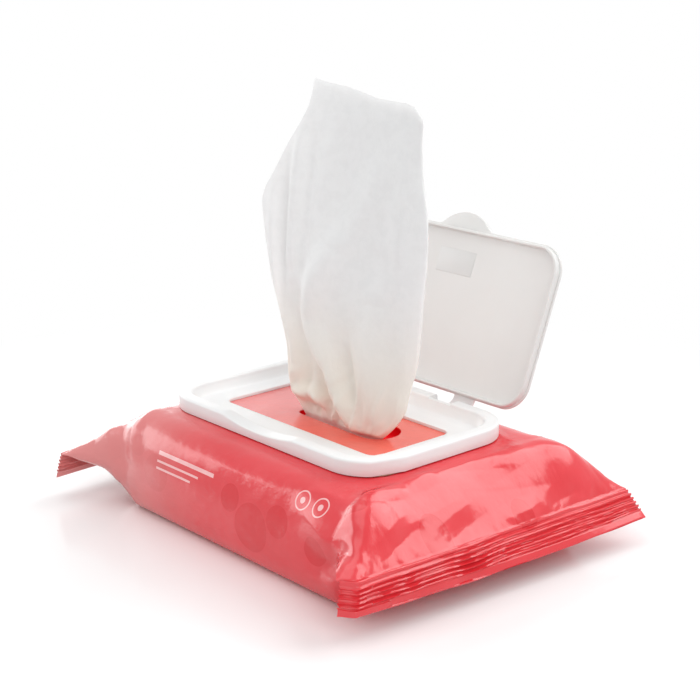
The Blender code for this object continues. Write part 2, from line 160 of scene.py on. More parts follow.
def cloud(points, scale, seed=0.0):
    """Smooth noise from -1 to 1 at each point, with blobs about one scale across."""
    return np.array([noise.noise(Vector(p) / scale + Vector((seed, seed * 1.7, seed * 0.6))) for p in points])


print("helpers are ready")

# %% [markdown]
# The plan of the closure comes first, because both the film below it and the lid above it have to fit it.

# %% Plan of the closure
frame_length = 110.0 * MM
frame_width = 71.0 * MM
frame_corner = 16.0 * MM
straight_x = frame_length / 2 - frame_corner
straight_y = frame_width / 2 - frame_corner
strap_x = 21.4 * MM
strap_width = 10.0 * MM
print("closure:", round(frame_length / MM, 1), "by", round(frame_width / MM, 1), "mm")

# %% [markdown]
# ## The film pouch
# A flow-wrap pack starts as a flat web of printed film. The machine wraps it round the wipes, seals its two
# long edges together under the pack, and crimps the tube flat at both ends between ribbed jaws. The mesh is
# made the same way: one grid is the flat web, it is wrapped round a rounded section, and at each end the
# section is pressed flat into a seal. Because the grid is the web, its UV map is the print's own flat
# artwork.
#
# The section round the wipes is two quarter curves on each side, a low waist and a narrower top.

# %% The section of the tube
glue_bed = 0.3 * MM
pack_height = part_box("glue_ring")[0].z - glue_bed
top_flat_half = 37.5 * MM
bottom_flat_half = 45.5 * MM
side_half = 52.5 * MM
waist_height = 13.0 * MM
waist_roundness = 2.3


def half_section(samples=400):
    """The +Y half of the section from bottom centre to top centre, and its length."""
    a = np.linspace(0.0, math.pi / 2, samples)
    power = 2.0 / waist_roundness
    lower_y = bottom_flat_half + (side_half - bottom_flat_half) * np.sin(a) ** power
    lower_z = waist_height * (1.0 - np.cos(a) ** power)
    upper_y = top_flat_half + (side_half - top_flat_half) * np.cos(a) ** power
    upper_z = waist_height + (pack_height - waist_height) * np.sin(a) ** power
    y = np.concatenate([[0.0], lower_y, upper_y[1:], [0.0]])
    z = np.concatenate([[0.0], lower_z, upper_z[1:], [pack_height]])
    along = np.concatenate([[0.0], np.cumsum(np.hypot(np.diff(y), np.diff(z)))])
    return along / along[-1], y, z, along[-1]


section_along, section_y, section_z, half_length = half_section()
seal_half_width = half_length / 2
print("film tube is", round(2 * half_length / MM), "mm round")

# %% [markdown]
# At the ends the section turns into two flat layers, each half the girth wide. Real film can't stretch, so it
# makes a ridge from each top corner of the pack to the corner of the seal and gathers into folds beside it.
# The seal hangs down from its root, steeply at one end and less at the other, and its ribs run along it.

# %% From tube to seal
ends = {
    1: dict(start=60.0 * MM, root=79.0 * MM, up=(20.0 * MM, 16.5 * MM), hang=(97.0, 42.0), lift=5.5 * MM,
            far_fullness=1.0, belly=1.4),
    -1: dict(start=53.0 * MM, root=77.0 * MM, up=(18.0 * MM, 19.0 * MM), hang=(68.0, 54.0), lift=1.3 * MM,
             far_fullness=-0.3, belly=1.9),
}
seal_length = 12.5 * MM
seal_bend = 2.5 * MM
seal_half_thickness = 0.3 * MM
shoulder_ease = 1.2
edge_turn = 0.02
side_turn = 0.25
upper_spread = 0.06
far_corner_reach = 30.0 * MM
far_corner_ease = 0.35
near_pinch, far_pinch = 2.5 * MM, 0.5 * MM
pinch_spread = 0.25
ridge_turn = 0.2
ridge_spread = 0.06
ridge_ease = 0.8
bend_steps = 24
tip_closing = 0.4 * MM
ear_length = 4.5 * MM
ear_back = 4.0 * MM


def tube_at(turn):
    half = 2.0 * np.minimum(turn, 1.0 - turn)
    y = np.interp(half, section_along, section_y)
    z = np.interp(half, section_along, section_z)
    return np.where(turn > 0.5, -y, y), z


def flat_at(turn):
    half = 2.0 * np.minimum(turn, 1.0 - turn)
    y = seal_half_width * (1.0 - np.abs(2.0 * half - 1.0))
    side = np.clip((half - 0.5) / edge_turn, -1.0, 1.0)
    return np.where(turn > 0.5, -y, y), side


def along_seal(y, near, far):
    return near + (far - near) * (0.5 + 0.5 * y / seal_half_width)


def ear(end, y):
    """The free corner of the near right seal is folded back towards the pouch."""
    if end < 0:
        return np.zeros_like(y)
    return np.where(y < 0, ear_back * ease((-y - (seal_half_width - ear_length)) / ear_length), 0.0)


def end_points(end, turn, t):
    """Points of one end of the pouch: t is 0 at the straight tube and 1 at the root of the seal."""
    shape = ends[end]
    ty, tz = tube_at(turn)
    fy, side = flat_at(turn)
    root_up = along_seal(fy, *shape["up"])
    upper = ease((side_turn - np.abs(turn - 0.5)) / upper_spread + 0.5)
    far_corner = far_corner_ease * ease(ty / far_corner_reach) * shape["far_fullness"]
    share = t ** (shape["belly"] + (shoulder_ease + far_corner - shape["belly"]) * upper)
    fade = 4.0 * t * (1.0 - t)
    beside = np.exp(-(((np.abs(np.sin(2.0 * math.pi * turn)) - 1.0) / pinch_spread) ** 2))
    y = ty + (fy - ty) * t
    y -= np.sign(ty) * np.where(ty < 0, near_pinch, far_pinch) * beside * fade
    z = tz + (root_up + side * seal_half_thickness - tz) * share
    ridge = np.exp(-(((np.abs(turn - 0.5) - ridge_turn) / ridge_spread) ** 2))
    z += shape["lift"] * ridge * np.sin(math.pi * t ** (ridge_ease + far_corner))
    x = end * (shape["start"] + (shape["root"] - shape["start"]) * t - ear(end, fy) * t)
    return np.stack([x, y, z], axis=1)


def seal_points(end, turn, along):
    """Points of one seal, at a length along it from its root."""
    shape = ends[end]
    y, side = flat_at(turn)
    hang = np.radians(along_seal(y, *shape["hang"]))
    x = np.zeros_like(y)
    z = np.zeros_like(y)
    for i in range(bend_steps):
        a = hang * ease((i + 0.5) / bend_steps * along / seal_bend)
        x += np.cos(a) * along / bend_steps
        z -= np.sin(a) * along / bend_steps
    a = hang * ease(along / seal_bend)
    closing = ease((seal_length - along) / tip_closing)
    out = side * seal_half_thickness * closing + rib_wave(y, along)
    root_up = along_seal(y, *shape["up"])
    px = end * (shape["root"] - ear(end, y) + x + np.sin(a) * out)
    return np.stack([px, y, root_up + z + np.cos(a) * out], axis=1)


rib_count = 6
rib_height = 0.55 * MM
rib_start = 0.8 * MM
rib_end = 10.2 * MM
rib_fade = 0.9 * MM
rib_drift = ((0.09, 11.0 * MM, 0.0), (0.04, 4.1 * MM, 1.0))
rib_squareness = 0.7


def rib_wave(y, along):
    """The crimp of the seal's jaws: ribs along the seal, a little uneven from one end to the other."""
    place = (along - rib_start) / (rib_end - rib_start) * rib_count
    drift = sum(size * np.sin(y / length + phase) for size, length, phase in rib_drift)
    wave = np.sin(2.0 * math.pi * (place + drift))
    uneven = 0.8 + 0.2 * np.sin(2.3 * place + y / (16.0 * MM))
    shown = ease(along / rib_start) * ease((rib_end - along) / rib_fade)
    return rib_height * uneven * shown * np.sign(wave) * np.abs(wave) ** rib_squareness


print("seals of", round(seal_length / MM, 1), "mm with", rib_count, "ribs each")

# %% [markdown]
# The grid's first direction runs along the pack. More of its rows go to the two seals, whose ribs are fine,
# than to the straight middle. The second direction runs round the tube from the middle of its underside and
# back to it.

# %% The web of film, wrapped
print_unit = 0.1
rows_along = 290
rows_round = 334
zone_rows = [0.0, 0.18, 0.345, 0.60, 0.81, 1.0]
zone_values = [-2.0, -1.0, -0.5, 0.5, 1.0, 2.0]

add_grid = bpy.ops.mesh.primitive_grid_add
film = new_piece("pouch_film", add_grid, x_subdivisions=rows_along, y_subdivisions=rows_round, size=2.0)
web = points_of(film)
zone = np.interp((web[:, 0] + 1.0) / 2.0, zone_rows, zone_values)
turn = np.clip((web[:, 1] + 1.0) / 2.0, 0.0, 1.0)
wrapped = np.zeros_like(web)
for end in (1, -1):
    seal = end * zone > 1.0
    wrapped[seal] = seal_points(end, turn[seal], (end * zone[seal] - 1.0) * seal_length)
    run = (end * zone > 0.5) & ~seal
    wrapped[run] = end_points(end, turn[run], (end * zone[run] - 0.5) * 2.0)
middle = np.abs(zone) <= 0.5
tube_y, tube_z = tube_at(turn[middle])
middle_x = np.interp(zone[middle], [-0.5, 0.5], [-ends[-1]["start"], ends[1]["start"]])
wrapped[middle] = np.stack([middle_x, tube_y, tube_z], axis=1)
move_points(film, wrapped)
girth = 2.0 * half_length
along_pack = np.interp(
    zone,
    zone_values,
    [-ends[-1]["root"] - seal_length, -ends[-1]["root"], -ends[-1]["start"],
     ends[1]["start"], ends[1]["root"], ends[1]["root"] + seal_length],
)
corner_of = np.empty(len(film.data.loops), dtype=np.int32)
film.data.loops.foreach_get("vertex_index", corner_of)
print_map = np.stack([along_pack[corner_of], (turn[corner_of] - 0.5) * girth], axis=1) / print_unit
film.data.uv_layers[0].data.foreach_set("uv", print_map.astype(np.float32).ravel())
print("film web:", rows_along, "by", rows_round, "faces")

# %% [markdown]
# Film is stiff for how thin it is, so it doesn't sag like cloth. It buckles into flat facets that meet in
# sharp ridges. Each ridge here is a line between two points of the pack, laid onto the film, with a height
# and a width in millimetres. The film is lifted along it, most at its middle and not at all at its ends. A
# negative height is a valley. The places were chosen one by one.

# %% Ridges and valleys
near_right, far_right = (79, -62, 20), (79, 64, 17)
near_left, far_left = (-77, -63, 18), (-77, 63, 19)
creases = [
    (near_right, (60, -44, 35), 1.4, 6), (near_right, (42, -51, 28), 3, 8),
    (near_right, (44, -53, 14), -2.2, 7), (near_right, (54, -53, 8), 2, 5),
    (near_right, (61, -52, 3), -1.2, 3.4), ((60, -44, 35), (63, -24, 36), 1.6, 4),
    ((63, -24, 36), (58, -8, 36), 1.3, 4.5), ((60, -8, 36), (68, 22, 33), -0.9, 7),
    ((66, 4, 34), (62, 34, 35), 1, 5), ((77, -50, 21), (72, -26, 27), -1.5, 5.5),
    ((78, -22, 20), (74, 2, 24), -1.2, 6), ((77, 4, 20), (76, 24, 21), 0.8, 5),
    ((77, 26, 19), (74, 46, 21), -1, 5.5), ((73, -44, 27), (70, -4, 30), 1, 8),
    ((70, 0, 30), (74, 38, 24), -0.8, 9), (far_right, (56, 40, 36), 1.6, 4),
    (far_right, (52, 53, 24), -1.4, 4), (far_right, (56, 53, 12), 1.3, 4),
    (near_left, (-63, -50, 31), 3.4, 9), (near_left, (-58, -44, 35), 0.8, 8),
    (near_left, (-50, -53, 20), -0.9, 6), ((-66, -40, 29), (-60, -53, 8), 1.5, 7),
    ((-56, -44, 34), (-50, -53, 18), 0.9, 6), (near_left, (-64, -16, 31), -0.7, 7),
    (far_left, (-50, 53, 20), -0.8, 6), ((30, -48, 33), (56, -44, 35), 0.7, 4),
    ((-30, -50, 31), (24, -49, 32), 0.5, 5), ((-20, 50, 30), (40, 49, 31), 0.6, 5),
]
crease_steps = 8
crease_gain = 0.8
crease_fade = 0.7


def crease_lift(points, a, b, height, width):
    """How far each point is lifted by one ridge from a to b, which is laid onto the film in short steps."""
    a, b = Vector(a) * MM, Vector(b) * MM
    guides = [np.array(a.lerp(b, i / crease_steps)) for i in range(crease_steps + 1)]
    route = [points[np.linalg.norm(points - guide, axis=1).argmin()] for guide in guides]
    nearest = np.full(len(points), 1.0)
    share = np.zeros(len(points))
    for i, (start, stop) in enumerate(zip(route, route[1:])):
        run = stop - start
        part = np.clip((points - start) @ run / max(run @ run, 1e-12), 0.0, 1.0)
        away = np.linalg.norm(points - (start + part[:, None] * run), axis=1)
        closer = away < nearest
        nearest = np.where(closer, away, nearest)
        share = np.where(closer, (i + part) / crease_steps, share)
    crest = np.clip(1.0 - nearest / (width * MM), 0.0, 1.0)
    return crease_gain * height * MM * crest * np.sin(math.pi * np.clip(share, 0.02, 0.98)) ** crease_fade


calm = points_of(film)
outward = -normals_of(film)
zone_of = np.abs(zone)
lift = np.zeros(len(calm))
for crease in creases:
    lift += crease_lift(calm, *crease)
print(len(creases), "ridges and valleys, up to", round(float(lift.max()) / MM, 1), "mm high")

# %% [markdown]
# Between the ridges the film is never quite flat. Broad, shallow waves come from noise with blobs about 20 mm
# wide. Near the seals the film gathers into narrow folds that run away from the seal: that is noise on points
# that are squeezed across the pack and stretched along it. Nothing is moved on the underside, which rests on
# the table. Under the closure the film is held by the ring of glue, and it swells up a little to the flange
# on both sides of the ring. That swell is a curve over the distance in from the closure's edge, and it leaves
# out the places under the straps.

# %% Waves and gathers
wave_height, fine_height, gather_height, seal_height = 0.34 * MM, 0.05 * MM, 0.22 * MM, 0.5 * MM
held_height, held_zone = 33.5 * MM, 0.72
top_height = 34.5 * MM
strap_half_room = 7.5 * MM
strap_room_start = 33.0 * MM
table_gap = 0.05 * MM
snug_inset = [-3.0, 0.0, 1.1, 1.9, 11.2, 13.2]
snug_lift = [0.0, 0.6, 0.7, 0.0, 0.0, 0.78]

waves = cloud(calm, 21.0 * MM, 3.0)
gathers = cloud(calm * np.array([0.22, 1.0, 1.0]), 4.6 * MM, 9.0)
fine = cloud(calm, 6.5 * MM, 5.0)
seal_waves = cloud(calm * np.array([0.0, 1.0, 0.0]), 17.0 * MM, 2.0)
near_seal = ease((zone_of - 0.86) / 0.14) * (1.0 - ease((zone_of - 1.0) / 0.12))
free = 1.0 - ease((calm[:, 2] - held_height) / (2.0 * MM)) * ease((held_zone - zone_of) / 0.22)
raised = ease((calm[:, 2] - 1.0 * MM) / (5.0 * MM))
lift += free * raised * (wave_height * waves + fine_height * fine)
lift += near_seal * raised * gather_height * (1.0 - 2.0 * np.abs(gathers))
lift *= 1.0 - ease((zone_of - 1.0) / 0.1)
lift += ease((zone_of - 1.0) / 0.5) * seal_height * seal_waves
flipped = np.where(outward[:, 2] > 0, 1.0, -1.0)
lift_direction = np.where((zone_of > 1.0)[:, None], outward * flipped[:, None], outward)
dressed = calm + lift_direction * lift[:, None]
dressed[:, 2] = np.maximum(dressed[:, 2], table_gap)
past_straight = np.abs(dressed[:, :2]) - np.array([straight_x, straight_y])
flat_room = past_straight.max(axis=1)
corner_room = np.linalg.norm(np.maximum(past_straight, 0.0), axis=1)
inset = (frame_corner - np.where(flat_room > 0, corner_room, flat_room)) / MM
snug = np.interp(inset, snug_inset, snug_lift)
by_strap = (np.abs(np.abs(dressed[:, 0]) - strap_x) < strap_half_room) & (dressed[:, 1] > strap_room_start)
on_top = (dressed[:, 2] > top_height) & ~by_strap
dressed[:, 2] += np.where(on_top, snug, 0.0) * MM
move_points(film, dressed)
print("film swells up to", max(snug_lift), "mm to meet the closure")

# %% [markdown]
# The slot in the top panel is die-cut: its outline goes round a wide disc and a narrow one. The faces inside
# it are deleted, the points that are left on the edge of the hole are moved onto the outline, and that edge
# is drawn down a little, which is the cut edge of the film.

# %% Weld the tube and cut the slot
weld(film)
slot_wide = (20.0 * MM, 2.2 * MM, 8.2 * MM)
slot_narrow = (-12.0 * MM, -2.0 * MM, 3.3 * MM)
film_edge = 0.3 * MM
slot_steps = 60
slot_room = np.array([40.0, 20.0]) * MM
panel_depth = 3.0 * MM


def slot_outline():
    """The slot's outline, counter-clockwise: an arc round each disc, joined by their common tangents."""
    wide, narrow = Vector(slot_wide[:2]), Vector(slot_narrow[:2])
    apart = wide - narrow
    lean = math.atan2(apart.y, apart.x)
    swing = math.acos((slot_narrow[2] - slot_wide[2]) / apart.length)
    outline = []
    for (cx, cy, radius), start, stop in (
        (slot_wide, lean - swing, lean + swing),
        (slot_narrow, lean + swing, lean + 2.0 * math.pi - swing),
    ):
        for i in range(slot_steps + 1):
            a = start + (stop - start) * i / slot_steps
            outline.append((cx + radius * math.cos(a), cy + radius * math.sin(a)))
    return np.array(outline)


def nearest_on(outline, spots):
    """The nearest point of a closed outline to each spot."""
    ahead = np.roll(outline, -1, axis=0) - outline
    away = spots[:, None, :] - outline[None, :, :]
    place = np.clip((away * ahead).sum(axis=2) / np.maximum((ahead * ahead).sum(axis=1), 1e-18), 0.0, 1.0)
    found = outline[None, :, :] + place[:, :, None] * ahead[None, :, :]
    best = np.linalg.norm(found - spots[:, None, :], axis=2).argmin(axis=1)
    return found[np.arange(len(spots)), best]


outline = slot_outline()
ahead = np.roll(outline, -1, axis=0) - outline
pick(film)
bpy.ops.object.mode_set(mode="EDIT")
bpy.ops.mesh.select_all(action="DESELECT")
bpy.ops.object.mode_set(mode="OBJECT")
for face in film.data.polygons:
    away = np.array(face.center[:2]) - outline
    inside = np.all(ahead[:, 0] * away[:, 1] - ahead[:, 1] * away[:, 0] >= 0.0)
    face.select = bool(inside and face.center.z > pack_height - panel_depth)
bpy.ops.object.mode_set(mode="EDIT")
bpy.ops.mesh.delete(type="FACE")
bpy.ops.mesh.select_mode(type="VERT")
bpy.ops.mesh.select_non_manifold(extend=False, use_wire=False, use_multi_face=False, use_non_contiguous=False)
bpy.ops.object.mode_set(mode="OBJECT")
spots = points_of(film)
chosen = np.empty(len(spots), dtype=bool)
film.data.vertices.foreach_get("select", chosen)
chosen &= (np.abs(spots[:, :2]) < slot_room).all(axis=1) & (spots[:, 2] > pack_height - 2.0 * panel_depth)
spots[chosen, :2] = nearest_on(outline, spots[chosen, :2])
move_points(film, spots)
edge_ends = np.empty(len(film.data.edges) * 2, dtype=np.int32)
film.data.edges.foreach_get("vertices", edge_ends)
film.data.vertices.foreach_set("select", chosen)
film.data.edges.foreach_set("select", chosen[edge_ends.reshape(-1, 2)].all(axis=1))
film.data.polygons.foreach_set("select", np.zeros(len(film.data.polygons), dtype=bool))
bpy.ops.object.mode_set(mode="EDIT")
bpy.ops.mesh.extrude_edges_move(TRANSFORM_OT_translate={"value": (0.0, 0.0, -film_edge)})
bpy.ops.object.mode_set(mode="OBJECT")
print("the slot's edge has", int(chosen.sum()), "points")
shade(film, 50)
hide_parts("film_pouch")
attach(film, "pack")
print("pouch_film:", triangles(film), "triangles")

# %% [markdown]
# ## The closure's frame
# The frame is one moulding, so it is one loop of section: outer wall, rounded rim, sloping inner wall, thin
# flange round the window, and a flat base. A torus already has that topology. Its large circle is sent round
# a rounded rectangle, and its small circle is sent round the section, given as distance in from the outer
# edge and height.

# %% Stations round a rounded rectangle
frame_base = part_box("lid_frame")[0].z
notch_half = strap_width / 2 + 0.5 * MM
corner_steps = 14
step_room, step_half = 0.6 * MM, 0.12 * MM
notch_edges = [side * strap_x + edge for side in (-1, 1) for edge in (-notch_half, notch_half)]


def side_steps(half, count, extra=()):
    """Places along one straight side, from -half to half, with a close pair at each sharp step."""
    places = list(np.linspace(-half, half, count + 1)[1:-1])
    for edge in extra:
        places = [p for p in places if abs(p - edge) > step_room]
        places += [edge - step_half, edge + step_half]
    return sorted(places)


def stations():
    """(part, place) all the way round: parts 0 to 3 are the sides from +X on, and 4 to 7 the corners."""
    short_side = side_steps(straight_y, 24)
    sides = (
        short_side,
        [-p for p in side_steps(straight_x, 64, notch_edges)],
        [-p for p in short_side],
        side_steps(straight_x, 90),
    )
    found = []
    for part, side in enumerate(sides):
        found += [(part, p) for p in side]
        found += [(part + 4, a) for a in np.linspace(0.0, 1.0, corner_steps + 1)]
    return found


def loop_points(half_x, half_y, corner, places):
    """Points of one rounded rectangle at the given stations, counter-clockwise, as x and y."""
    points = []
    reach_x, reach_y = half_x - corner, half_y - corner
    for part, place in places:
        if part in (0, 2):
            points.append(((1 - part) * half_x, place * reach_y / straight_y))
        elif part in (1, 3):
            points.append((place * reach_x / straight_x, (2 - part) * half_y))
        else:
            a = (part - 4 + place) * math.pi / 2
            cx = reach_x if part in (4, 7) else -reach_x
            cy = reach_y if part in (4, 5) else -reach_y
            points.append((cx + corner * math.cos(a), cy + corner * math.sin(a)))
    return np.array(points)


places = stations()
print(len(places), "stations round the closure")

# %% [markdown]
# The section is written in millimetres, starting half-way up the outer wall and going over the rim. A share
# above 0 moves a point from the foot of the inner wall towards the window, which has smaller corners.

# %% Torus to frame
rim_height = 5.4
rim_width = 5.0
rim_edge = 0.9
dip_floor = 2.0
flange = 1.1
wall_foot = 6.9
frame_section = [(0, 2.6, 0), (0, 4, 0)]
bends = [(rim_edge * (1 - math.cos(a)), rim_edge * (1 - math.sin(a))) for a in np.linspace(0, math.pi / 2, 6)]
frame_section += [(inward, rim_height - down, 0) for inward, down in bends]
frame_section += [(1.8, 5.46, 0), (2.6, 5.48, 0), (3.4, 5.46, 0)]
frame_section += [(rim_width - inward, rim_height - down, 0) for down, inward in bends]
frame_section += [(5.35, 3.7, 0), (5.9, 2.6, 0), (6.4, 1.7, 0), (wall_foot - 0.15, 1.28, 0)]
frame_section += [(wall_foot + 0.2, flange, 0), (wall_foot, flange, 0.35), (wall_foot, flange, 0.7)]
frame_section += [(wall_foot, flange, 0.97), (wall_foot, flange - 0.1, 0.995), (wall_foot, flange - 0.35, 1)]
frame_section += [(wall_foot, 0, 1), (wall_foot, 0, 0.5), (wall_foot, 0, 0), (3, 0, 0)]
frame_section += [(0.35, 0, 0), (0.1, 0.1, 0), (0, 0.35, 0)]
scoop_half = 19.0 * MM
scoop_outer_dip = 2.3
scoop_inner_dip = 1.75
scoop_roundness = 1.1
notch_height = 4.65
notch_back, notch_lean = 0.29, 0.589

closure = new_piece(
    "closure_frame", bpy.ops.mesh.primitive_torus_add, major_segments=len(places),
    minor_segments=len(frame_section), major_radius=1.0, minor_radius=0.25,
)
shaped = np.zeros((len(places), len(frame_section), 3))
window_loop = loop_points(40.0 * MM, 18.2 * MM, 4.0 * MM, places)
part_of = np.array([part for part, _ in places])
for j, (inset, height, share) in enumerate(frame_section):
    inset *= MM
    rim = loop_points(frame_length / 2 - inset, frame_width / 2 - inset, frame_corner - inset, places)
    xy = rim + (window_loop - rim) * share
    up = np.full(len(places), height)
    from_middle = np.abs(xy[:, 0])
    dip_shape = np.clip(1.0 - (from_middle / scoop_half) ** 2, 0.0, 1.0) ** scoop_roundness * (part_of == 3)
    across_rim = np.clip(inset / MM / rim_width, 0.0, 1.0)
    dip = scoop_outer_dip + (scoop_inner_dip - scoop_outer_dip) * across_rim
    top_share = (rim_height - dip * dip_shape - dip_floor) / (rim_height - dip_floor)
    up = np.where(height > dip_floor, dip_floor + (up - dip_floor) * top_share, up)
    in_notch = (np.abs(from_middle - strap_x) < notch_half) & (part_of == 1) & (share == 0.0)
    up = np.where(in_notch, np.minimum(up, notch_height), up)
    behind = frame_width / 2 - (notch_back + notch_lean * up) * MM
    xy[:, 1] = np.where(in_notch, np.minimum(xy[:, 1], behind), xy[:, 1])
    shaped[:, j, :2] = xy
    shaped[:, j, 2] = frame_base + up * MM
move_points(closure, shaped.reshape(-1, 3))
weld(closure, 0.002 * MM)
shade(closure, 35)
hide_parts("lid_frame")
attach(closure, "pack")
print("closure_frame:", triangles(closure), "triangles")

# %% [markdown]
# ## The lid
# The lid is a shallow tray with a rounded tab. A sphere has its topology: its top pole is the middle of the
# outer face, its rings go over the edge and down the wall, and its bottom pole is the middle of the inner
# face. The lid is drawn closed, measured from the hinge axis, and then turned open about that axis, as it
# stands in the photograph.

# %% Sphere to lid
axis_y = frame_width / 2 + 0.7 * MM
axis_z = frame_base - 0.2 * MM
open_angle = math.radians(-111.0)
lid_half_x = 49.4 * MM
lid_half_y = 29.9 * MM
lid_corner = 10.4 * MM
lid_middle = -36.2 * MM
tab_radius = 16.37
tab_centre = 10.57
tab_fillet = 0.9
tab_half = 18.0
lid_top, lid_inside = 5.85, 4.75
lid_rings = [
    (8, lid_top, 0), (0.5, lid_top, 1), (0.14, 5.72, 1), (0, 5.45, 1), (0, 5.15, 1), (0.12, 4.88, 1),
    (0.4, 4.75, 1), (0.62, 4.74, 0), (0.62, 3.2, 0), (0.7, 2.75, 0), (0.95, 2.55, 0), (1.35, 2.55, 0),
    (1.6, 2.75, 0), (1.68, 3.2, 0), (1.75, 4.2, 0), (2.05, 4.62, 0), (2.7, lid_inside, 0),
    (12, lid_inside, 0),
]


def tab_reach(x, inset):
    """How far the lid's front edge stands out at the tab, in millimetres, with a fillet at each side."""
    round_edge = np.sqrt(np.maximum((tab_radius - inset) ** 2 - x ** 2, 0.0)) - tab_centre + inset
    return 0.5 * (round_edge + np.sqrt(round_edge ** 2 + tab_fillet ** 2)) * (np.abs(x) < tab_half)


def turn_open(points):
    """Turn points that are measured from the hinge axis to the open position, and put them on the axis."""
    c, s = math.cos(open_angle), math.sin(open_angle)
    y = points[:, 1] * c - points[:, 2] * s
    z = points[:, 1] * s + points[:, 2] * c
    return np.stack([points[:, 0], y + axis_y, z + axis_z], axis=1)


lid = new_piece(
    "closure_lid", bpy.ops.mesh.primitive_uv_sphere_add, segments=len(places), ring_count=len(lid_rings) + 1,
    radius=1.0,
)
ball = points_of(lid)
ring = np.rint(np.arccos(np.clip(ball[:, 2], -1.0, 1.0)) / math.pi * (len(lid_rings) + 1)).astype(int)
circle = np.arctan2(ball[:, 1], ball[:, 0]) / (2.0 * math.pi)
station = np.rint(circle * len(places)).astype(int) % len(places)
tray = np.zeros((len(lid_rings) + 2, len(places), 3))
tray[0] = (0.0, lid_middle, lid_top * MM)
tray[-1] = (0.0, lid_middle, lid_inside * MM)
for j, (inset, height, with_tab) in enumerate(lid_rings):
    inset_m = inset * MM
    corner = max(lid_corner - inset_m, 1.0 * MM)
    xy = loop_points(lid_half_x - inset_m, lid_half_y - inset_m, corner, places)
    reach = tab_reach(xy[:, 0] / MM, inset) * MM * with_tab * (part_of == 3)
    tray[j + 1, :, 0] = xy[:, 0]
    tray[j + 1, :, 1] = xy[:, 1] + lid_middle - reach
    tray[j + 1, :, 2] = height * MM
move_points(lid, turn_open(tray[ring, station]))
print("closure_lid:", triangles(lid), "triangles")

# %% [markdown]
# A low pad on the inner face is the lid's catch. It is a cube with softened edges, sunk a little into the
# plate and joined to the lid, because it is part of the same moulding.

# %% Catch pad
catch_size = np.array([18.0, 9.0, 0.5]) * MM
catch_middle = np.array([0.0, -53.1, lid_inside + 0.13]) * MM
catch = new_piece("catch_pad", bpy.ops.mesh.primitive_cube_add, size=1.0)
move_points(catch, points_of(catch) * catch_size)
modify(catch, "soft edges", "BEVEL", width=0.2 * MM, segments=3)
apply_all(catch)
move_points(catch, turn_open(points_of(catch) + catch_middle))
join([lid, catch])
edit_all(lid, bpy.ops.mesh.normals_make_consistent, inside=False)
shade(lid, 35)
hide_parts("lid")
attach(lid, "lid")
print("closure_lid with its catch:", triangles(lid), "triangles")

# %% [markdown]
# Two thin straps join the lid to the back of the frame. They are moulded in the same shot and bend where they
# are thin. Each one is a grid laid along a smooth curve, with a thickness, and it turns from the frame to the
# lid.

# %% Living hinges
strap_line = np.array([(35.1, 37.05), (40.6, 36.85), (42.9, 37.7), (44.2, 41.3)]) * MM
strap_thickness = 0.5 * MM
strap_parts = []
for side in (-1, 1):
    strap = new_piece("hinge_straps", add_grid, x_subdivisions=14, y_subdivisions=30, size=1.0)
    flat = points_of(strap)
    t = (flat[:, 1] + 0.5)[:, None]
    shares = (1 - t) ** 3, 3 * (1 - t) ** 2 * t, 3 * (1 - t) * t ** 2, t ** 3
    route = sum(share * spot for share, spot in zip(shares, strap_line))
    strap_side = side * strap_x + flat[:, 0] * strap_width
    move_points(strap, np.stack([strap_side, route[:, 0], route[:, 1]], axis=1))
    strap_parts.append(strap)
join(strap_parts)
straps = strap_parts[0]
modify(straps, "strap thickness", "SOLIDIFY", thickness=strap_thickness, offset=0.0)
apply_all(straps)
shade(straps, 40)
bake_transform(straps)
print("hinge_straps:", triangles(straps), "triangles")

# %% [markdown]
# ## The pulled wipe
# The wipe stands in two layers that are joined by a fold at the right. One grid is the whole sheet: its first
# direction runs from the front layer's free edge to the fold and back along the rear layer, and its second
# direction runs up. The sheet is squeezed through the slot at its foot, opens out above it, and leans back a
# little. The two edges are rows of height, left x and right x, read from the outline in the photograph as if
# they stood in the middle of the wipe. The front layer's free edge is nearer than that, so it is moved in
# until it is seen at the same place.

# %% Sheet to wipe
wipe_edges = np.array([
    (0, -14.2, 25.5), (6, -20.5, 32), (12, -24.3, 35.5), (25, -25.3, 39.4), (33, -28.1, 40.8),
    (50, -34.8, 41.9), (64, -38.6, 43.2), (75, -41, 43.6), (79, -40, 43.2), (85, -35.6, 42.6),
    (96, -27.5, 40), (108, -18.2, 38.7), (112, -16, 38.6), (119, -14.2, 38.6),
])
seen_slant = 1.124
wipe_top = 119.0
edge_rounding = np.linspace(-2.5, 2.5, 7)
opened_height = 55.0
foot_taper = 0.25
lean_foot, lean_top = -1.2, 5.2
rear_drop = 1.5
foot_drop = 2.6
wipe_columns = 190
wipe_rows = 200
foot_half_depth = 2.6
body_half_depth = 9.0
top_half_depth = 0.5
top_line = np.array([
    (0, 0), (0.14, 1), (0.34, 1.6), (0.45, 2.6), (0.59, 4), (0.74, 4.4), (0.85, 4.5), (0.93, 5.3), (1, 9),
])


def smooth_through(height, column):
    """The edge's x at a height: a curve through the listed rows, a little rounded at each of them."""
    spread = edge_rounding * np.clip(height / 5.0, 0.0, 1.0)[:, None]
    heights = np.clip(height[:, None] + spread, 0.0, wipe_top)
    return np.interp(heights, wipe_edges[:, 0], wipe_edges[:, column]).mean(axis=1)


